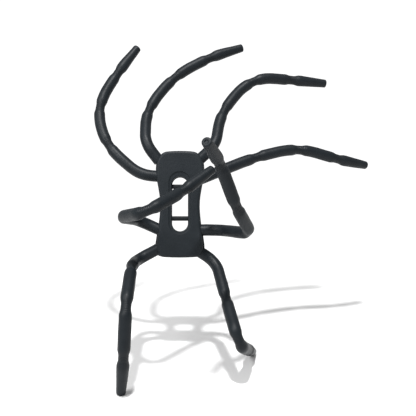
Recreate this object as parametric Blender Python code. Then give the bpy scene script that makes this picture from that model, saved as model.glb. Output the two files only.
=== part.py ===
"""Bendable eight-legged phone holder, posed standing on its two lower legs.

A waisted centre plate (front panel, wire frame, rear panel) carries eight legs. Each leg is a
steel wire inside four rubber lobes that meet at narrow necks, where the leg bends.
Lengths below are in millimetres; the scene is built in metres, +Z up, front towards -Y.
"""

import math

import bmesh
import bpy
from mathutils import Vector

MM = 0.001
GAP = 0.3  # between pieces that touch in the real thing

# ---- centre plate -------------------------------------------------------------------------
PLATE_CENTRE = Vector((-39.55, 8.22, 106.6))  # puts the whole object over the origin, feet at z = 0
PLATE_LEAN = math.radians(15)  # the plate's top leans back
FRAME_HALF = 2.0  # half the thickness of the wire frame
PANEL_OUT = 5.0  # from the middle of the plate to a panel's outer face
SLOT_RADIUS = 5.9
SLOT_TOP, SLOT_BOTTOM = 19.9, -18.9
LIP_WIDTH, LIP_DEPTH = 1.6, 0.6  # shallow step around the slot in each panel
WINDOW_HALF = 5.6  # half width of the frame's windows behind the slot
UPPER_BAR = (11.4, 14.6)  # the two crossbars, bottom and top
LOWER_BAR = (-11.2, -7.9)

# right-hand edge of the plate from top to bottom as (half width, height)
PANEL_EDGE = [
    (7.5, 37.9), (11.6, 37.0), (14.5, 34.2), (16.2, 30.2), (16.8, 25.5), (16.4, 19.5), (15.2, 12.0),
    (14.2, 5.0), (13.9, -1.0), (14.2, -8.0), (14.9, -16.0), (15.7, -24.0), (16.1, -30.0),
    (15.6, -33.8), (13.4, -36.2), (9.0, -36.9),
]
FRAME_EDGE = [
    (7.5, 37.6), (11.9, 36.8), (15.0, 34.2), (16.7, 30.4), (17.2, 25.5), (16.7, 19.5), (15.4, 12.0),
    (14.3, 5.0), (14.0, -1.0), (14.4, -8.0), (15.4, -16.0), (16.8, -24.0), (17.4, -29.5),
    (16.9, -33.6), (14.6, -36.0), (9.0, -36.6),
]

# ---- legs ---------------------------------------------------------------------------------
SIDES = 8  # facets around a leg
WIRE_SIDES = 6
STEP = 2  # along a leg's centre line
LOBE_RADIUS = 4.05
SHOULDER_RADIUS = 3.85  # where a lobe narrows towards a neck
NECK_RADIUS = 3.3
BALL_RADIUS = 2.95
CUP_RIM_RADIUS = 3.0
TAPER_RADIUS = 3.6  # 10 mm before the tip's end
TIP_RADIUS = 3.0
BORE_RADIUS = 1.55
WIRE_RADIUS = 1.15
SOCKET_RADIUS = 3.3  # boss on the frame that holds a leg's root
SOCKET_LENGTH = 8.2
WIRE_INSIDE = 9.5  # how far a wire reaches into the frame from the root joint
TIP_COVER = 4.0  # rubber beyond the wire's end

# All legs are the same product: distances of the root joint, the three necks and the tip's end.
MARKS = (0, 40, 74, 106, 134)
SOFT, TIGHT = 16, 9  # a leg's turn at a neck is spread over this distance on both sides of it
ROOT_TURN = 16  # its turn away from the plate is spread over this distance from the root
# Each leg: root joint on the plate (x, height), heading there in the plate, how tightly it bends,
# then the direction of each lobe as (clock, back) in degrees. Headings and clock angles are as
# seen from the front, with 0 right and 90 up; back is away from the viewer.
LEGS = {
    "leg1": ((-20.7, 20.9), 175, SOFT, [(142, 17), (110, 38), (61, 29), (53, 31)]),
    "leg2": ((-19.8, 37.5), 128, SOFT, [(93, 49), (51, 26), (28, 17), (16, 18)]),
    "leg3": ((18.8, 37.0), 42, SOFT, [(79, 47), (47, 17), (-4, 20), (-6, 11)]),
    "leg4": ((19.6, 20.6), 22, SOFT, [(18, 25), (10, 17), (-18, 10), (-14, 26)]),
    "leg5": ((-20.4, -14.8), 155, TIGHT, [(134, -67), (26, -54), (20, 51), (32, 35)]),
    "leg6": ((20.1, -17.7), 0, TIGHT, [(12, -53), (116, -44), (110, -15), (118, -54)]),
    "leg7": ((-22.0, -34.5), 208, TIGHT, [(82, -80), (270, -66), (267, -8), (263, 15)]),
    "leg8": ((18.1, -35.7), 328, TIGHT, [(290, -55), (293, -62), (292, 60), (292, 61)]),
}
SEGMENTS = ("base", "second", "third", "tip")


# ---- small helpers ------------------------------------------------------------------------
def clear_scene():
    for ob in list(bpy.data.objects):
        bpy.data.objects.remove(ob, do_unlink=True)


def make_material(name, colour, roughness, metallic=0.0):
    mat = bpy.data.materials.new(name)
    mat.use_nodes = True
    shader = mat.node_tree.nodes["Principled BSDF"]
    shader.inputs["Base Color"].default_value = (*colour, 1)
    shader.inputs["Roughness"].default_value = roughness
    shader.inputs["Metallic"].default_value = metallic
    mat.diffuse_color = (*colour, 1)
    return mat


def on_plate(x, y, z):
    """A point of the leaning plate (y is depth, back positive), from the plate's centre, in mm."""
    c, s = math.cos(PLATE_LEAN), math.sin(PLATE_LEAN)
    return Vector((x, y * c + z * s, z * c - y * s))


def add_object(name, bm, origin, material, smooth_angle=40):
    """Make an object from a bmesh whose vertices are in mm from the plate's centre."""
    bmesh.ops.recalc_face_normals(bm, faces=bm.faces)
    if bm.calc_volume(signed=True) < 0:
        bmesh.ops.reverse_faces(bm, faces=bm.faces)
    for v in bm.verts:
        v.co = (v.co - origin) * MM
    mesh = bpy.data.meshes.new(name)
    bm.to_mesh(mesh)
    bm.free()
    mesh.materials.append(material)
    ob = bpy.data.objects.new(name, mesh)
    ob.location = (PLATE_CENTRE + origin) * MM
    bpy.context.scene.collection.objects.link(ob)
    mesh.shade_smooth()
    mesh.set_sharp_from_angle(angle=math.radians(smooth_angle))
    return ob


def loft(bm, rings, loop=False):
    """Join rings of points with quads; close both ends, or join the last ring to the first."""
    made = [[bm.verts.new(p) for p in ring] for ring in rings]
    pairs = list(zip(made, made[1:]))
    if loop:
        pairs.append((made[-1], made[0]))
    n = len(made[0])
    for a, b in pairs:
        for i in range(n):
            bm.faces.new((a[i], a[(i + 1) % n], b[(i + 1) % n], b[i]))
    if not loop:
        bm.faces.new(made[0][::-1])
        bm.faces.new(made[-1])


def cut(target, cutter, operation="DIFFERENCE"):
    cutter.hide_render = True
    cutter.display_type = "WIRE"
    mod = target.modifiers.new(cutter.name, "BOOLEAN")
    mod.operation = operation
    mod.solver = "EXACT"
    mod.object = cutter


# ---- leg centre lines ---------------------------------------------------------------------
def direction(clock, back):
    """A unit vector from its two angles in degrees."""
    c, b = math.radians(clock), math.radians(back)
    return Vector((math.cos(c) * math.cos(b), math.sin(b), math.sin(c) * math.cos(b)))


class CentreLine:
    """A leg's centre line from its root joint to its tip, with a frame that doesn't twist."""

    def __init__(self, root, heading, bend, directions):
        angle = math.radians(heading)
        self.out = on_plate(math.cos(angle), 0, math.sin(angle))
        self.marks = MARKS
        lobes = [direction(*d) for d in directions]
        # each turn as (where it starts, where it ends, direction before, direction after)
        self.turns = [(0, ROOT_TURN, self.out, lobes[0])]
        for mark, before, after in zip(MARKS[1:], lobes, lobes[1:]):
            self.turns.append((mark - bend, mark + bend, before, after))
        # step along the line, turning evenly through each bend
        self.lengths = [STEP * i for i in range(MARKS[-1] // STEP + 1)]
        self.points = [on_plate(root[0], 0, root[1])]
        for s in self.lengths[1:]:
            self.points.append(self.points[-1] + self.heading_at(s - STEP / 2) * STEP)
        self.tangents = [self.heading_at(s) for s in self.lengths]
        self.normals = []
        normal = on_plate(0, -1, 0)
        for t in self.tangents:
            normal = (normal - t * normal.dot(t)).normalized()
            self.normals.append(normal.copy())

    def heading_at(self, s):
        """The line's direction at a distance from the root joint."""
        for start, end, before, after in self.turns:
            if s < end:
                return before.slerp(after, max(s - start, 0) / (end - start))
        return after

    def frame(self, s):
        """Position, tangent and normal at a distance along the line."""
        s = min(max(s, 0.0), self.lengths[-1])
        i = min(int(s // STEP), len(self.points) - 2)
        f = s / STEP - i
        t = self.tangents[i].lerp(self.tangents[i + 1], f).normalized()
        n = self.normals[i].lerp(self.normals[i + 1], f)
        return self.points[i].lerp(self.points[i + 1], f), t, (n - t * n.dot(t)).normalized()

    def ring(self, s, radius, offset=0.0, sides=SIDES):
        """A ring of points around the line; offset moves it straight along the tangent."""
        p, t, n = self.frame(s)
        b = t.cross(n)
        p = p + t * offset
        turn = math.pi / sides
        angles = [turn + 2 * math.pi * k / sides for k in range(sides)]
        return [p + (n * math.cos(a) + b * math.sin(a)) * radius for a in angles]


def middle_stations(a, b, spacing=9.5):
    """Evenly spaced distances along a segment, clear of its two necks."""
    a, b = a + 8, b - 8
    n = max(1, math.ceil((b - a) / spacing))
    return [a + (b - a) * k / n for k in range(n + 1)] if b - a > 3 else [(a + b) / 2]


# a ball at the start of a segment, the frame's socket that holds the first one, and a cup at a
# segment's end, as (distance from the joint, radius)
BALL = [(-2.5, BORE_RADIUS), (-1.4, 2.6), (0.0, BALL_RADIUS), (1.5, NECK_RADIUS)]
SOCKET_MOUTH = [(-2.97, BORE_RADIUS), (-2.25, 2.48), (-1.2, 3.13), (1.0, 3.35)]
CUP = [(-1.5, NECK_RADIUS), (-1.5, CUP_RIM_RADIUS), (-2.25, 2.48), (-2.97, BORE_RADIUS)]


def segment_mesh(line, k):
    """One rubber lobe of a leg, with the wire's bore through it."""
    a, b = line.marks[k], line.marks[k + 1]
    last = k == len(SEGMENTS) - 1
    outer = [line.ring(a, r, offset=s) for s, r in BALL]
    outer.append(line.ring(a + 5, SHOULDER_RADIUS))
    if last:
        outer += [line.ring(a + 10, LOBE_RADIUS), line.ring(b - 10, TAPER_RADIUS)]
        outer.append(line.ring(b - 2.5, TIP_RADIUS + 0.2))
        outer += [line.ring(b - 0.7, TIP_RADIUS), line.ring(b, TIP_RADIUS - 0.5)]
        outer += [line.ring(b, 1.1), line.ring(b - 0.8, 0.9)]
        bore_end = b - TIP_COVER + GAP
        inner = [line.ring(s, BORE_RADIUS) for s in (bore_end, b - 10, a + 10)]
    else:
        mids = middle_stations(a, b)
        outer += [line.ring(s, LOBE_RADIUS) for s in mids]
        outer.append(line.ring(b - 5, SHOULDER_RADIUS))
        outer += [line.ring(b, r, offset=s) for s, r in CUP]
        inner = [line.ring(s, BORE_RADIUS) for s in [b - 5, *mids[::-1]]]
    inner += [line.ring(a + 5, BORE_RADIUS), line.ring(a, BORE_RADIUS)]
    bm = bmesh.new()
    loft(bm, inner + outer, loop=not last)
    return bm


def wire_mesh(line):
    """A leg's bendable steel wire, from inside the frame to just short of the tip."""
    stops = [(0, -WIRE_INSIDE)]
    for k in range(len(SEGMENTS)):
        a, b = line.marks[k], line.marks[k + 1]
        stops += [(a, 0), (a + 5, 0)]
        if k < len(SEGMENTS) - 1:
            stops += [(s, 0) for s in (*middle_stations(a, b), b - 5)] + [(b, CUP[-1][0])]
        else:
            stops += [(a + 10, 0), (b - 10, 0), (b - TIP_COVER, 0)]
    rings = [line.ring(s, WIRE_RADIUS, offset=d, sides=WIRE_SIDES) for s, d in stops]
    bm = bmesh.new()
    loft(bm, rings)
    return bm


# ---- plate pieces -------------------------------------------------------------------------
def full_outline(edge):
    """The closed outline from its right-hand edge, clockwise from the top, as (x, z)."""
    return list(edge) + [(-x, z) for x, z in edge[::-1]]


def inset_outline(outline, d):
    """The outline moved inwards by d."""
    n, out = len(outline), []
    for i, (x, z) in enumerate(outline):
        (ax, az), (bx, bz) = outline[i - 1], outline[(i + 1) % n]
        tx, tz = bx - ax, bz - az
        size = math.hypot(tx, tz)
        out.append((x + tz / size * d, z - tx / size * d))
    return out


def plate_solid(bm, edge, levels):
    """A slab with the plate's outline; levels are (depth, inset)."""
    outline = full_outline(edge)
    loft(bm, [[on_plate(x, y, z) for x, z in inset_outline(outline, d)] for y, d in levels])


def stadium(radius, steps=8):
    """The slot's outline with rounded ends, grown to the given radius."""
    grow = radius - SLOT_RADIUS
    top, bottom = SLOT_TOP + grow - radius, SLOT_BOTTOM - grow + radius
    turns = [math.pi * k / steps for k in range(steps + 1)]
    pts = [(radius * math.cos(a), top + radius * math.sin(a)) for a in turns]
    return pts + [(-x, bottom - (z - top)) for x, z in pts]


def prism(bm, outline, y0, y1):
    loft(bm, [[on_plate(x, y, z) for x, z in outline] for y in (y0, y1)])


def rod(bm, line, profile, sides):
    """A turned solid on a leg's root direction; profile is (distance from the root joint, radius)."""
    loft(bm, [line.ring(0, r, offset=s, sides=sides) for s, r in profile])


def build_panel(name, side, lines, material):
    """A cover panel: side -1 is the front, +1 the rear."""
    bm = bmesh.new()
    inner = side * (FRAME_HALF + GAP)
    plate_solid(bm, PANEL_EDGE, [(inner, 0), (side * 3.9, 0), (side * 4.6, 0.35), (side * PANEL_OUT, 1.2)])
    panel = add_object(name, bm, Vector(), material)

    cutter = bmesh.new()
    step = PANEL_OUT - LIP_DEPTH
    wide = SLOT_RADIUS + LIP_WIDTH
    radii = [(1.0, SLOT_RADIUS), (step, SLOT_RADIUS), (step, wide), (7.0, wide)]
    loft(cutter, [[on_plate(x, side * y, z) for x, z in stadium(r)] for y, r in radii])
    for line in lines.values():
        clear = SOCKET_RADIUS + GAP
        rod(cutter, line, [(-SOCKET_LENGTH - GAP, clear), (4.0, clear)], 10)
    cut(panel, add_object(name + "_cutter", cutter, Vector(), material))
    return panel


def window_outlines():
    """The three openings that the crossbars leave in the frame, as (x, z) outlines."""
    w, n = WINDOW_HALF, 8
    low, high = SLOT_BOTTOM + SLOT_RADIUS, SLOT_TOP - SLOT_RADIUS
    arc = [(w * math.cos(math.pi * k / n), w * math.sin(math.pi * k / n)) for k in range(n + 1)]
    top = [(x, max(high + z, UPPER_BAR[1])) for x, z in arc]
    middle = [(w, UPPER_BAR[0]), (-w, UPPER_BAR[0]), (-w, LOWER_BAR[1]), (w, LOWER_BAR[1])]
    bottom = [(w, LOWER_BAR[0]), *[(x, low - z) for x, z in arc], (-w, LOWER_BAR[0])]
    return [top, middle, bottom]


def build_frame(lines, material):
    """The wire frame between the panels: crossbars in the slot and a socket for each leg."""
    bm = bmesh.new()
    plate_solid(bm, FRAME_EDGE, [(-FRAME_HALF, 0), (FRAME_HALF, 0)])
    frame = add_object("wire_frame", bm, Vector(), material)

    sockets = bmesh.new()
    for line in lines.values():
        rod(sockets, line, [(-SOCKET_LENGTH, SOCKET_RADIUS), (-3.6, SOCKET_RADIUS), (-1.5, NECK_RADIUS)], 10)
    cut(frame, add_object("socket_bosses", sockets, Vector(), material), "UNION")

    holes = bmesh.new()
    for outline in window_outlines():
        prism(holes, outline, -FRAME_HALF - 1, FRAME_HALF + 1)
    for line in lines.values():
        rod(holes, line, [(-WIRE_INSIDE - GAP, BORE_RADIUS), *SOCKET_MOUTH], SIDES)
    cut(frame, add_object("frame_holes", holes, Vector(), material))
    return frame


# ---- the whole object ---------------------------------------------------------------------
def build():
    clear_scene()
    panel_black = make_material("panel_black", (0.022, 0.025, 0.028), 0.5)
    frame_black = make_material("frame_black", (0.015, 0.017, 0.019), 0.6)
    rubber = make_material("rubber_black", (0.018, 0.021, 0.023), 0.65)
    steel = make_material("steel_wire", (0.55, 0.56, 0.57), 0.35, 1.0)

    lines = {name: CentreLine(*spec) for name, spec in LEGS.items()}
    build_frame(lines, frame_black)
    build_panel("front_panel", -1, lines, panel_black)
    build_panel("rear_panel", 1, lines, panel_black)
    for name, line in lines.items():
        add_object(f"{name}_wire", wire_mesh(line), line.frame(0)[0], steel)
        for k, segment in enumerate(SEGMENTS):
            joint = line.frame(line.marks[k])[0]
            add_object(f"{name}_{segment}", segment_mesh(line, k), joint, rubber)


build()
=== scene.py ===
"""Visual model of the bendable eight-legged phone holder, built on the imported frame.

Each leg's rubber is one continuous skin over its steel wire. Skin and wire are split in the middle
of each lobe, and every split part bends across one joint. Lengths are in millimetres, measured
from the plate's centre, until a piece is made. The plate leans back, with its front towards -Y.
"""

import math

import bmesh
import bpy
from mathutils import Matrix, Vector, noise


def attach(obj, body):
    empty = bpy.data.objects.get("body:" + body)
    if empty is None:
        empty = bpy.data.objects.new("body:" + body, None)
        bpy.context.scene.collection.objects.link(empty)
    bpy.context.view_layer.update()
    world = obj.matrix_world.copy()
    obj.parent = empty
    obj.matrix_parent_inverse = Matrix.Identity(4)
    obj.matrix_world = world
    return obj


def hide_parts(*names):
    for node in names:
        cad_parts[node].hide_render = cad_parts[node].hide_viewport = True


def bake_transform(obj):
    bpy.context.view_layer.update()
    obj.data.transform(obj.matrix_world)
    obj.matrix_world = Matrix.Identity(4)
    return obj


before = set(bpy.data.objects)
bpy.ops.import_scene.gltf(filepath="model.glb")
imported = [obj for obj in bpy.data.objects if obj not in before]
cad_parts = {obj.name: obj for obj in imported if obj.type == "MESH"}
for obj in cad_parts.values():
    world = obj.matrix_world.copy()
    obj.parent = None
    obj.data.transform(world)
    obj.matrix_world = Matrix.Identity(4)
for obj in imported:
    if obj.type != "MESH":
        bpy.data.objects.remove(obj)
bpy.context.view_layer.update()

MM = 0.001
GAP = 0.3  # between pieces that touch in the real thing

# ---- the frame's own sizes, as in the part's source ---------------------------------------
PLATE_CENTRE = Vector((-39.55, 8.22, 106.6))
PLATE_LEAN = math.radians(15)
SLOT_TOP, SLOT_BOTTOM, SLOT_RADIUS = 19.9, -18.9, 5.9
UPPER_BAR, LOWER_BAR = (11.4, 14.6), (-11.2, -7.9)
PANEL_EDGE = [
    (7.5, 37.9), (11.6, 37.0), (14.5, 34.2), (16.2, 30.2), (16.8, 25.5), (16.4, 19.5), (15.2, 12.0),
    (14.2, 5.0), (13.9, -1.0), (14.2, -8.0), (14.9, -16.0), (15.7, -24.0), (16.1, -30.0),
    (15.6, -33.8), (13.4, -36.2), (9.0, -36.9),
]
FRAME_EDGE = [
    (7.5, 37.6), (11.9, 36.8), (15.0, 34.2), (16.7, 30.4), (17.2, 25.5), (16.7, 19.5), (15.4, 12.0),
    (14.3, 5.0), (14.0, -1.0), (14.4, -8.0), (15.4, -16.0), (16.8, -24.0), (17.4, -29.5),
    (16.9, -33.6), (14.6, -36.0), (9.0, -36.6),
]
# All legs are the same product: distances of the root joint, the three necks and the tip's end.
MARKS = (0, 40, 74, 106, 134)
SOFT, TIGHT = 16, 9  # a leg's turn at a neck is spread over this distance on both sides of it
ROOT_TURN = 16  # its turn away from the plate is spread over this distance from the root
# Each leg: root joint on the plate (x, height), heading there in the plate, how tightly it bends,
# then the direction of each lobe as (clock, back) in degrees. Headings and clock angles are as
# seen from the front, with 0 right and 90 up; back is away from the viewer.
LEGS = {
    "leg1": ((-20.7, 20.9), 175, SOFT, [(142, 17), (110, 38), (61, 29), (53, 31)]),
    "leg2": ((-19.8, 37.5), 128, SOFT, [(93, 49), (51, 26), (28, 17), (16, 18)]),
    "leg3": ((18.8, 37.0), 42, SOFT, [(79, 47), (47, 17), (-4, 20), (-6, 11)]),
    "leg4": ((19.6, 20.6), 22, SOFT, [(18, 25), (10, 17), (-18, 10), (-14, 26)]),
    "leg5": ((-20.4, -14.8), 155, TIGHT, [(134, -67), (26, -54), (20, 51), (32, 35)]),
    "leg6": ((20.1, -17.7), 0, TIGHT, [(12, -53), (116, -44), (110, -15), (118, -54)]),
    "leg7": ((-22.0, -34.5), 208, TIGHT, [(82, -80), (270, -66), (267, -8), (263, 15)]),
    "leg8": ((18.1, -35.7), 328, TIGHT, [(290, -55), (293, -62), (292, 60), (292, 61)]),
}
SEGMENTS = ("base", "second", "third", "tip")

# ---- the skin ------------------------------------------------------------------------------
SIDES = 40
RING_STEP = 0.75
BASE_RADIUS = 4.0
LOBE_RADIUS = 4.08
NECK_RADIUS = 3.3
BASE_END = 6.0  # a leg keeps its base radius up to here
NECK_FLAT, NECK_REACH = 1.4, 6.0  # a neck is narrow this far each way, and ends this far away
TAPER_START = 8.0  # from the last neck to where the tip begins to taper
TIP_RADIUS = 3.0
BORE_RADIUS, WIRE_RADIUS = 1.35, 1.15
SKIN_INSIDE, WIRE_INSIDE = 8.0, 9.5  # reach inside the plate from the root joint
TIP_COVER = 4.0
BORE_STEP, WIRE_STEP = 2.0, 1.5
WIRE_SIDES = 12
BEND_HALF = 4.5  # the bend at a joint spreads over this far each way
UNEVEN = ((0.13, 0.10), (0.42, 0.035))  # hand-moulded waviness, as (how fine, how high)
PARTING_RIDGE = 0.07
STRETCH_FROM, STRETCH_PAST = 8, 4  # stretch lines start here and end this far past the last neck
RIM = 0.8  # rounding of the tip's flat end
RIM_EXTRA = 0.03  # the tip is this much wider where the rounding starts
# the dimple in the tip's flat end, from its edge to its middle, as (depth, radius)
DIMPLE = ((0.0, 1.75), (0.0, 1.45), (0.12, 1.25), (0.55, 1.05), (0.65, 0.8))

# ---- the plate -----------------------------------------------------------------------------
PANEL_IN, PANEL_OUT = 2.3, 5.0  # a panel's inner and outer face, from the middle of the plate
FRAME_HALF = 2.0
SMOOTH_ANGLE = math.radians(40)
CHANNEL_SIDES = 36
CHANNEL_STATIONS = (-SKIN_INSIDE - GAP, -4.0, -1.0, 1.0, 3.0)  # along a leg's root
PANEL_CHANNEL, FRAME_CHANNEL = 4.4, 4.3  # radius of the openings that the legs leave through
BAR_SIDES = 20
BAR_HALF_DEPTH, BAR_REACH = 1.75, 6.6
BAR_ROUNDING = 0.7  # 1 is an ellipse, and smaller is squarer


# ---- helpers -------------------------------------------------------------------------------
def on_plate(x, y, z):
    """A point of the leaning plate; y is depth, back positive."""
    c, s = math.cos(PLATE_LEAN), math.sin(PLATE_LEAN)
    return Vector((x, y * c + z * s, z * c - y * s))


def smoothstep(f):
    f = min(max(f, 0.0), 1.0)
    return f * f * (3 - 2 * f)


def loft(bm, rings, loop=False, values=None):
    """Join rings of points with quads; close both ends, or join the last ring to the first."""
    neck = bm.verts.layers.float.get("neck") or bm.verts.layers.float.new("neck")
    along = bm.verts.layers.float.get("along") or bm.verts.layers.float.new("along")
    made = [[bm.verts.new(p) for p in ring] for ring in rings]
    for k, ring in enumerate(made):
        for v in ring:
            v[neck], v[along] = values[k] if values else (0.0, 0.0)
    pairs = list(zip(made, made[1:]))
    if loop:
        pairs.append((made[-1], made[0]))
    n = len(made[0])
    for a, b in pairs:
        for i in range(n):
            bm.faces.new((a[i], a[(i + 1) % n], b[(i + 1) % n], b[i]))
    if not loop:
        bm.faces.new(made[0][::-1])
        bm.faces.new(made[-1])


def link(name, bm):
    """An object from a bmesh in mm from the plate's centre; its mesh is in metres in the shared frame."""
    bmesh.ops.recalc_face_normals(bm, faces=bm.faces)
    if bm.calc_volume(signed=True) < 0:
        bmesh.ops.reverse_faces(bm, faces=bm.faces)
    for v in bm.verts:
        v.co = (v.co + PLATE_CENTRE) * MM
    mesh = bpy.data.meshes.new(name)
    bm.to_mesh(mesh)
    bm.free()
    ob = bpy.data.objects.new(name, mesh)
    bpy.context.scene.collection.objects.link(ob)
    mesh.shade_smooth()
    mesh.set_sharp_from_angle(angle=SMOOTH_ANGLE)
    return ob


def apply_modifiers(ob):
    depsgraph = bpy.context.evaluated_depsgraph_get()
    mesh = bpy.data.meshes.new_from_object(ob.evaluated_get(depsgraph), depsgraph=depsgraph)
    ob.modifiers.clear()
    ob.data = mesh
    mesh.shade_smooth()
    mesh.set_sharp_from_angle(angle=SMOOTH_ANGLE)


def boolean(ob, other, operation="DIFFERENCE"):
    mod = ob.modifiers.new(other.name, "BOOLEAN")
    mod.operation, mod.solver, mod.object = operation, "EXACT", other
    apply_modifiers(ob)
    bpy.data.objects.remove(other, do_unlink=True)


def finish_piece(ob, material):
    """Store the rest position in mm, so that grain stays on the surface when a leg bends."""
    mesh = ob.data
    count = len(mesh.vertices)
    co = [0.0] * (count * 3)
    mesh.vertices.foreach_get("co", co)
    rest = mesh.attributes.new("rest_mm", "FLOAT_VECTOR", "POINT")
    rest.data.foreach_set("vector", [c / MM for c in co])
    mesh.materials.clear()
    mesh.materials.append(material)


# ---- materials -----------------------------------------------------------------------------
class Nodes:
    """A small wrapper that adds shader nodes and links their inputs."""

    def __init__(self, name):
        self.material = bpy.data.materials.new(name)
        self.material.use_nodes = True
        self.tree = self.material.node_tree
        self.shader = self.tree.nodes["Principled BSDF"]

    def add(self, kind, inputs=(), **settings):
        made = self.tree.nodes.new(kind)
        for key, value in settings.items():
            setattr(made, key, value)
        for key, value in dict(inputs).items():
            self.plug(made.inputs[key], value)
        return made

    def plug(self, socket, value):
        if isinstance(value, bpy.types.NodeSocket):
            self.tree.links.new(value, socket)
        else:
            socket.default_value = value

    def maths(self, operation, a, b=0.0, clamp=False):
        return self.add("ShaderNodeMath", {0: a, 1: b}, operation=operation, use_clamp=clamp).outputs[0]

    def noise(self, vector, scale, detail=2.0, rough=0.5):
        inputs = {"Vector": vector, "Scale": scale, "Detail": detail, "Roughness": rough}
        return self.add("ShaderNodeTexNoise", inputs).outputs["Fac"]

    def glow(self):
        """Even white light, for what lies behind the object."""
        return self.add("ShaderNodeEmission", {"Color": (1, 1, 1, 1), "Strength": GLOW}).outputs[0]

    def use_as_surface(self, shader):
        output = next(x for x in self.tree.nodes if x.type == "OUTPUT_MATERIAL")
        self.plug(output.inputs["Surface"], shader)

    def spread(self, value, low, high, out_low=0.0, out_high=1.0):
        made = self.add("ShaderNodeMapRange", {"Value": value, "From Min": low, "From Max": high,
                                               "To Min": out_low, "To Max": out_high})
        return made.outputs["Result"]

    def colours(self, factor, stops):
        ramp = self.add("ShaderNodeValToRGB", {"Fac": factor})
        while len(ramp.color_ramp.elements) < len(stops):
            ramp.color_ramp.elements.new(0.5)
        for element, (place, colour) in zip(ramp.color_ramp.elements, stops):
            element.position = place
            element.color = (*colour, 1)
        return ramp.outputs["Color"]


def rubber(name, dark, light, roughness, grain, wrinkles):
    """Matte rubber or soft plastic: blotches, fine grain, handling marks, dust, stretch lines at necks, and
    painted shade that darkens the necks.
    """
    n = Nodes(name)
    rest = n.add("ShaderNodeAttribute", attribute_name="rest_mm").outputs["Vector"]
    neck = n.add("ShaderNodeAttribute", attribute_name="neck").outputs["Fac"]
    along = n.add("ShaderNodeAttribute", attribute_name="along").outputs["Fac"]
    mottle = n.noise(rest, 0.11, 4.0, 0.6)
    fine = n.noise(rest, 2.6, 3.0, 0.6)
    smudge = n.spread(n.noise(rest, 0.045, 2.0), 0.45, 0.7)
    dust = n.spread(n.noise(rest, 1.15, 5.0, 0.75), 0.62, 0.74)
    tone = n.maths("ADD", n.maths("MULTIPLY", mottle, 0.7), n.maths("MULTIPLY", fine, 0.3))
    # painted shade: the necks, where the skin narrows between lobes, are darkened in colour
    tone = n.maths("SUBTRACT", tone, n.maths("MULTIPLY", neck, 0.12))
    tone = n.maths("ADD", tone, n.maths("MULTIPLY", dust, 0.10), clamp=True)
    n.plug(n.shader.inputs["Base Color"], n.colours(tone, [(0.25, dark), (0.75, light)]))
    rough = n.spread(fine, 0.3, 0.7, roughness - 0.05, roughness + 0.07)
    rough = n.maths("ADD", rough, n.maths("MULTIPLY", smudge, -0.08))
    n.plug(n.shader.inputs["Roughness"], rough)
    n.shader.inputs["Specular IOR Level"].default_value = 0.17
    wave = n.maths("SINE", n.maths("MULTIPLY", n.maths("ADD", along, n.maths("MULTIPLY", mottle, 1.6)), 6.6))
    lines = n.maths("MULTIPLY", wave, n.maths("MULTIPLY", n.maths("POWER", neck, 2.0), wrinkles))
    height = n.maths("ADD", n.maths("MULTIPLY", fine, grain), lines)
    height = n.maths("ADD", height, n.maths("MULTIPLY", n.noise(rest, 0.5, 2.0), grain * 1.6))
    bump = n.add("ShaderNodeBump", {"Height": height, "Strength": 0.55, "Distance": 0.0001})
    n.plug(n.shader.inputs["Normal"], bump.outputs["Normal"])
    return n.material


def steel(name):
    """Drawn steel wire with fine bumps and a mottled tone."""
    n = Nodes(name)
    rest = n.add("ShaderNodeAttribute", attribute_name="rest_mm").outputs["Vector"]
    spots = n.noise(rest, 0.8, 4.0, 0.6)
    colour = n.colours(spots, [(0.3, (0.42, 0.43, 0.44)), (0.7, (0.62, 0.63, 0.64))])
    n.plug(n.shader.inputs["Base Color"], colour)
    n.plug(n.shader.inputs["Roughness"], n.spread(spots, 0.3, 0.7, 0.28, 0.42))
    n.shader.inputs["Metallic"].default_value = 1.0
    bump = n.add("ShaderNodeBump", {"Height": n.noise(rest, 5.0, 2.0), "Strength": 0.3, "Distance": 0.00005})
    n.plug(n.shader.inputs["Normal"], bump.outputs["Normal"])
    return n.material


leg_rubber = rubber(
    "leg_rubber", dark=(0.0046, 0.0066, 0.0086), light=(0.0092, 0.0124, 0.0154),
    roughness=0.47, grain=1.0, wrinkles=1.3)
panel_rubber = rubber(
    "panel_soft_plastic", dark=(0.0066, 0.0092, 0.0116), light=(0.0120, 0.0154, 0.0186),
    roughness=0.52, grain=1.2, wrinkles=0.0)
# painted shade: the frame, between the panels and inside the slot, is a darker copy of the panel plastic
frame_plastic_painted_shade = rubber(
    "frame_soft_plastic_painted_shade", dark=(0.0038, 0.0054, 0.0068), light=(0.0075, 0.0098, 0.0118),
    roughness=0.58, grain=1.0, wrinkles=0.0)
wire_steel = steel("wire_steel")


# ---- leg centre lines ----------------------------------------------------------------------
def direction(clock, back):
    """A unit vector from its two angles in degrees."""
    c, b = math.radians(clock), math.radians(back)
    return Vector((math.cos(c) * math.cos(b), math.sin(b), math.sin(c) * math.cos(b)))


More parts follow.
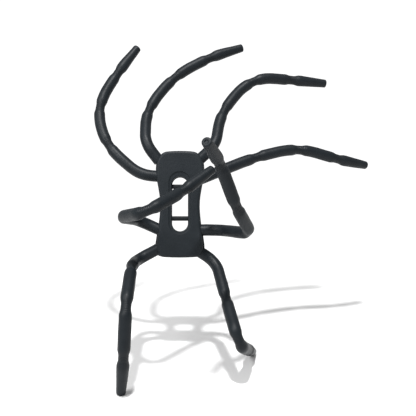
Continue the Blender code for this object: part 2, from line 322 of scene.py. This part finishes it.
class CentreLine:
    """A leg's centre line from inside the plate to its tip, turning evenly through each bend."""

    STEP = 0.5
    START = -14.0

    def __init__(self, root, heading, bend, directions):
        angle = math.radians(heading)
        out = on_plate(math.cos(angle), 0, math.sin(angle))
        self.marks, self.end = MARKS, MARKS[-1]
        lobe_ways = [direction(*d) for d in directions]
        # each turn as (where it starts, where it ends, direction before, direction after)
        self.turns = [(0, ROOT_TURN, out, lobe_ways[0])]
        for mark, before, after in zip(MARKS[1:], lobe_ways, lobe_ways[1:]):
            self.turns.append((mark - bend, mark + bend, before, after))
        count = round((self.end - self.START) / self.STEP)
        stations = [self.START + k * self.STEP for k in range(count + 1)]
        self.points = [on_plate(root[0], 0, root[1]) + out * self.START]
        for s in stations[1:]:
            self.points.append(self.points[-1] + self.heading_at(s - self.STEP / 2) * self.STEP)
        self.tangents = [self.heading_at(s) for s in stations]
        self.normals = []
        normal = on_plate(0, -1, 0)
        for t in self.tangents:
            normal = (normal - t * normal.dot(t)).normalized()
            self.normals.append(normal.copy())

    def heading_at(self, s):
        """The line's direction at a distance from the root joint."""
        for start, end, before, after in self.turns:
            if s < end:
                return before.slerp(after, max(s - start, 0) / (end - start))
        return after

    def frame(self, s):
        f = (min(max(s, self.START), self.end) - self.START) / self.STEP
        i = min(int(f), len(self.points) - 2)
        f -= i
        t = self.tangents[i].lerp(self.tangents[i + 1], f).normalized()
        n = self.normals[i].lerp(self.normals[i + 1], f)
        return self.points[i].lerp(self.points[i + 1], f), t, (n - t * n.dot(t)).normalized()

    def ring(self, s, radius, sides=SIDES, shape=None):
        """Points around the line; shape, if given, adds to the radius at each point."""
        p, t, n = self.frame(s)
        b = t.cross(n)
        out = []
        for k in range(sides):
            a = 2 * math.pi * k / sides
            outwards = n * math.cos(a) + b * math.sin(a)
            q = p + outwards * radius
            out.append(q + outwards * shape(q, k) if shape else q)
        return out


def lobes(line):
    """The skin's radius along a leg, as (distance, radius) stops joined by smooth steps."""
    stops = [(line.START, BASE_RADIUS), (BASE_END, BASE_RADIUS)]
    for neck in line.marks[1:4]:
        stops += [(neck - NECK_REACH, LOBE_RADIUS), (neck - NECK_FLAT, NECK_RADIUS),
                  (neck + NECK_FLAT, NECK_RADIUS), (neck + NECK_REACH, LOBE_RADIUS)]
    stops.append((line.marks[3] + TAPER_START, LOBE_RADIUS))
    return stops


def skin_radius(line, stops, s):
    tip_from, full = stops[-1]
    if s >= tip_from:
        return full + (TIP_RADIUS - full) * (s - tip_from) / (line.end - tip_from)
    (a, ra), (b, rb) = next(pair for pair in zip(stops, stops[1:]) if s <= pair[1][0])
    return ra + (rb - ra) * smoothstep((s - a) / (b - a))


def uneven(point, k):
    """Hand-moulded unevenness and the mould's parting line along both sides of a leg."""
    ridge = PARTING_RIDGE if k in (SIDES // 4, 3 * SIDES // 4) else 0.0
    return sum(noise.noise(point * fine) * high for fine, high in UNEVEN) + ridge


def evenly(a, b, step):
    """Evenly spaced distances from a to b, about a step apart."""
    n = max(1, round((b - a) / step))
    return [a + (b - a) * k / n for k in range(n + 1)]


def skin_mesh(line, a, b, last):
    stops = lobes(line)
    outer, values = [], []

    def put(s, radius, shaped=True):
        outer.append(line.ring(s, radius, shape=uneven if shaped else None))
        full = skin_radius(line, stops, s)
        # how far the skin narrows at a neck; the material uses it for stretch lines and for painted shade in
        # the necks
        hollow = (LOBE_RADIUS - full) / (LOBE_RADIUS - NECK_RADIUS)
        on_lobes = STRETCH_FROM < s < line.marks[3] + STRETCH_PAST
        values.append((min(max(hollow, 0.0), 1.0) if on_lobes else 0.0, s))

    if not last:
        for s in evenly(a, b, RING_STEP):
            put(s, skin_radius(line, stops, s))
        inner_end = b
    else:
        for s in evenly(a, line.end - RIM, RING_STEP):
            put(s, skin_radius(line, stops, s))
        for turn in (25, 50, 75):  # rounded rim of the flat end
            f = math.radians(turn)
            put(line.end - RIM + RIM * math.sin(f), TIP_RADIUS + RIM_EXTRA - RIM * (1 - math.cos(f)))
        for depth, radius in DIMPLE:
            put(line.end - depth, radius, shaped=False)
        inner_end = line.end - TIP_COVER + GAP
    inner = [line.ring(s, BORE_RADIUS) for s in evenly(a, inner_end, BORE_STEP)[::-1]]
    inner_values = [(0.0, 0.0)] * len(inner)
    bm = bmesh.new()
    loft(bm, inner + outer, loop=not last, values=inner_values + values)
    return bm


def wire_mesh(line, a, b):
    rings = [line.ring(s, WIRE_RADIUS, WIRE_SIDES) for s in evenly(a, b, WIRE_STEP)]
    bm = bmesh.new()
    loft(bm, rings)
    return bm


def build_leg(name, spec):
    line = CentreLine(*spec)
    marks = line.marks
    splits = [None, *[(marks[k] + marks[k + 1]) / 2 for k in range(3)], line.end]
    for k, segment in enumerate(SEGMENTS):
        joint = "root" if k == 0 else f"neck{k}"
        last = k == 3
        start = line.frame(marks[k] - BEND_HALF)[0]
        end = line.frame(marks[k] + BEND_HALF)[0]

        a = -SKIN_INSIDE if k == 0 else splits[k]
        skin = link(f"{name}_{joint}_skin", skin_mesh(line, a, splits[k + 1], last))
        finish_piece(skin, leg_rubber)
        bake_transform(skin)
        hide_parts(f"{name}_{segment}")

        a = -WIRE_INSIDE if k == 0 else splits[k]
        b = line.end - TIP_COVER if last else splits[k + 1]
        wire = link(f"{name}_{joint}_wire", wire_mesh(line, a, b))
        finish_piece(wire, wire_steel)
        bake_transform(wire)
        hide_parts(f"{name}_wire")
    return line


# ---- plate ---------------------------------------------------------------------------------
def smooth_outline(edge, steps=4):
    """The closed outline, eased between its points, clockwise from the top, as (x, z)."""
    loop = list(edge) + [(-x, z) for x, z in edge[::-1]]
    out = []
    for i in range(len(loop)):
        p = [Vector((*loop[(i + d) % len(loop)], 0)) for d in (-1, 0, 1, 2)]
        t = [0.0]
        for a, b in zip(p, p[1:]):
            t.append(t[-1] + math.sqrt((b - a).length))
        for k in range(steps):
            u = t[1] + (t[2] - t[1]) * k / steps
            a1 = p[0].lerp(p[1], (u - t[0]) / (t[1] - t[0]))
            a2 = p[1].lerp(p[2], (u - t[1]) / (t[2] - t[1]))
            a3 = p[2].lerp(p[3], (u - t[2]) / (t[3] - t[2]))
            b1 = a1.lerp(a2, (u - t[0]) / (t[2] - t[0]))
            b2 = a2.lerp(a3, (u - t[1]) / (t[3] - t[1]))
            q = b1.lerp(b2, (u - t[1]) / (t[2] - t[1]))
            out.append((q.x, q.y))
    return out


def inset(outline, d):
    """The outline moved inwards by d."""
    n, out = len(outline), []
    for i, (x, z) in enumerate(outline):
        (ax, az), (bx, bz) = outline[i - 1], outline[(i + 1) % n]
        tx, tz = bx - ax, bz - az
        size = math.hypot(tx, tz)
        out.append((x + tz / size * d, z - tx / size * d))
    return out


def stadium(radius, rise=0.0, steps=20):
    """The slot's outline grown to the given radius; rise lifts its top end."""
    grow = radius - SLOT_RADIUS
    top, bottom = SLOT_TOP + grow - radius + rise, SLOT_BOTTOM - grow + radius
    half = [math.pi * k / steps for k in range(steps + 1)]
    return ([(radius * math.cos(a), top + radius * math.sin(a)) for a in half]
            + [(-radius * math.cos(a), bottom - radius * math.sin(a)) for a in half])


def open_loft(bm, loops):
    """Quads between loops, with both ends left open; returns the vertex loops."""
    made = [[bm.verts.new(p) for p in loop] for loop in loops]
    n = len(made[0])
    for a, b in zip(made, made[1:]):
        for i in range(n):
            bm.faces.new((a[i], a[(i + 1) % n], b[(i + 1) % n], b[i]))
    return made


def cap_between(bm, outer, inner):
    """A flat face between an outer and an inner loop of vertices."""
    edges = []
    for loop in (outer, inner):
        for i, v in enumerate(loop):
            w = loop[(i + 1) % len(loop)]
            edges.append(bm.edges.get((v, w)) or bm.edges.new((v, w)))
    bmesh.ops.triangle_fill(bm, use_beauty=True, use_dissolve=False, edges=edges)


def slotted_slab(side, edge, outer_levels, slot_levels):
    """A slab with the plate's outline and a slot through it. Levels run from inside to outside:
    (depth, inset) for the outline and (depth, radius, rise) for the slot."""
    bm = bmesh.new()
    outline = smooth_outline(edge)
    rims = [(y, inset(outline, d)) for y, d in outer_levels]
    holes = [(y, stadium(r, rise)) for y, r, rise in slot_levels]
    outer, slot = [open_loft(bm, [[on_plate(x, side * y, z) for x, z in points] for y, points in loops])
                   for loops in (rims, holes)]
    cap_between(bm, outer[0], slot[0])
    cap_between(bm, outer[-1], slot[-1])
    return bm


def rounded(y, radius, steps=7):
    """Levels of a rounded outer rim that ends at depth y, as (depth, inset)."""
    turns = [math.pi / 2 * k / steps for k in range(1, steps + 1)]
    return [(y - radius + radius * math.sin(a), radius * (1 - math.cos(a))) for a in turns]


def leg_channels(lines, radius):
    """Cutters for the legs' roots."""
    bm = bmesh.new()
    for line in lines.values():
        loft(bm, [line.ring(s, radius, CHANNEL_SIDES) for s in CHANNEL_STATIONS])
    return link("leg_channels", bm)


def build_panel(name, side, lines):
    """A cover panel with a rounded rim and a shallow step around its slot."""
    outer = [(PANEL_IN, 0.3), (2.45, 0.06), (2.7, 0.0), (3.1, 0.0)]
    outer += [*rounded(PANEL_OUT, 1.9), (PANEL_OUT, 2.3)]
    wall = [(PANEL_IN, SLOT_RADIUS, 0), (4.0, SLOT_RADIUS, 0), (4.22, 5.95, 0), (4.36, 6.1, 0)]
    step = [(4.4, 6.35, 0.1), (4.4, 7.3, 1.3), (4.46, 7.5, 1.6), (4.7, 7.62, 1.7)]
    edge = [(4.9, 7.72, 1.7), (4.98, 7.9, 1.7), (PANEL_OUT, 8.15, 1.7), (PANEL_OUT, 8.4, 1.7)]
    panel = link(name, slotted_slab(side, PANEL_EDGE, outer, wall + step + edge))
    boolean(panel, leg_channels(lines, PANEL_CHANNEL))
    finish_piece(panel, panel_rubber)
    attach(panel, "plate_body")
    return panel


def bar_mesh(low, high):
    """A crossbar with a rounded section, from one side of the slot to the other."""
    half, middle = (high - low) / 2, (high + low) / 2
    section = []
    for k in range(BAR_SIDES):
        a = 2 * math.pi * k / BAR_SIDES
        c, s = math.cos(a), math.sin(a)
        depth = math.copysign(abs(c) ** BAR_ROUNDING, c) * BAR_HALF_DEPTH
        section.append((depth, middle + math.copysign(abs(s) ** BAR_ROUNDING, s) * half))
    bm = bmesh.new()
    loft(bm, [[on_plate(x, y, z) for y, z in section] for x in (-BAR_REACH, -2.0, 2.0, BAR_REACH)])
    return bm


def build_frame(lines):
    """The layer between the panels, with two crossbars that show in the slot."""
    rim = rounded(FRAME_HALF, 0.7, 4)
    outer = [(-y, d) for y, d in rim[::-1]] + [(-1.3, 0), (1.3, 0)] + rim
    wall = [(1.0, 5.6, 0), (1.6, 5.62, 0), (FRAME_HALF, SLOT_RADIUS, 0)]
    slot = [(-y, radius, rise) for y, radius, rise in wall[::-1]] + wall
    body = link("plate_frame", slotted_slab(1, FRAME_EDGE, outer, slot))
    for k, (low, high) in enumerate((UPPER_BAR, LOWER_BAR)):
        boolean(body, link(f"crossbar_{k}", bar_mesh(low, high)), "UNION")
    boolean(body, leg_channels(lines, FRAME_CHANNEL))
    # darker plastic as painted shade for the layer between the panels and the bars in the slot
    finish_piece(body, frame_plastic_painted_shade)
    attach(body, "plate_body")
    return body


# ---- the object ----------------------------------------------------------------------------
legs = {name: build_leg(name, spec) for name, spec in LEGS.items()}
front = build_panel("plate_front", -1, legs)
rear = build_panel("plate_rear", 1, legs)
middle = build_frame(legs)
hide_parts("front_panel")
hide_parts("rear_panel")
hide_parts("wire_frame")


# ---- studio, in metres ---------------------------------------------------------------------
GLOW = 1.1  # strength of the white behind the object
FLOOR_RADIUS, BACKDROP_RADIUS = 6.0, 6.5
FLOOR_FADE = (0.26, 0.50)  # the floor turns white between these distances from the object


def stage_object(name, build, material):
    bm = bmesh.new()
    build(bm)
    mesh = bpy.data.meshes.new(name)
    bm.to_mesh(mesh)
    bm.free()
    mesh.shade_smooth()
    mesh.materials.append(material)
    ob = bpy.data.objects.new(name, mesh)
    bpy.context.scene.collection.objects.link(ob)
    return ob


def floor_material():
    """Pale matte floor that fades to white away from the object."""
    n = Nodes("studio_floor")
    n.shader.inputs["Base Color"].default_value = (0.80, 0.80, 0.80, 1)
    n.shader.inputs["Roughness"].default_value = 0.7
    n.shader.inputs["Specular IOR Level"].default_value = 0.1
    place = n.add("ShaderNodeNewGeometry").outputs["Position"]
    away = n.add("ShaderNodeVectorMath", {0: place}, operation="LENGTH").outputs["Value"]
    fade = n.spread(away, *FLOOR_FADE)
    mixed = n.add("ShaderNodeMixShader", {0: fade, 1: n.shader.outputs[0], 2: n.glow()})
    n.use_as_surface(mixed.outputs[0])
    return n.material


def backdrop_material():
    n = Nodes("studio_backdrop")
    n.use_as_surface(n.glow())
    return n.material


stage_object(
    "floor", lambda bm: bmesh.ops.create_circle(bm, cap_ends=True, segments=96, radius=FLOOR_RADIUS),
    floor_material())
backdrop = stage_object(
    "backdrop",
    lambda bm: bmesh.ops.create_uvsphere(bm, u_segments=48, v_segments=24, radius=BACKDROP_RADIUS),
    backdrop_material())
for ray in ("diffuse", "glossy", "transmission", "volume_scatter", "shadow"):
    setattr(backdrop, f"visible_{ray}", False)


def area_light(name, place, target, size, power):
    data = bpy.data.lights.new(name, "AREA")
    data.shape = "DISK"
    data.size = size
    data.energy = power
    ob = bpy.data.objects.new(name, data)
    ob.location = place
    ob.rotation_euler = (Vector(target) - Vector(place)).to_track_quat("-Z", "Y").to_euler()
    bpy.context.scene.collection.objects.link(ob)


area_light("key", (-0.05, -0.42, 1.5), target=(0, 0, 0.08), size=0.10, power=26)
area_light("soft_left", (-0.60, -0.55, 0.75), target=(0, 0, 0.1), size=0.5, power=8)

world = bpy.data.worlds.new("studio")
bpy.context.scene.world = world
world.use_nodes = True
background = world.node_tree.nodes["Background"]
background.inputs["Color"].default_value = (1, 1, 1, 1)
background.inputs["Strength"].default_value = 0.48

LENS, SENSOR = 54.95, 36
CAMERA_DOWN = math.radians(12)
CAMERA_DISTANCE = 450  # from the plate's centre
AIM_RIGHT, AIM_BELOW = 19.8, 2.1  # of the picture's middle, from the plate's centre
camera_data = bpy.data.cameras.new("camera")
camera_data.lens = LENS
camera_data.sensor_width = SENSOR
camera_data.clip_start, camera_data.clip_end = 0.01, 50
camera = bpy.data.objects.new("camera", camera_data)
view = Vector((0, math.cos(CAMERA_DOWN), -math.sin(CAMERA_DOWN)))
up = Vector((0, math.sin(CAMERA_DOWN), math.cos(CAMERA_DOWN)))
aim = PLATE_CENTRE + Vector((AIM_RIGHT, 0, 0)) - up * AIM_BELOW
camera.location = (aim - view * CAMERA_DISTANCE) * MM
camera.rotation_euler = (math.radians(90) - CAMERA_DOWN, 0, 0)
bpy.context.scene.collection.objects.link(camera)
bpy.context.scene.camera = camera
bpy.context.scene.view_settings.view_transform = "Standard"
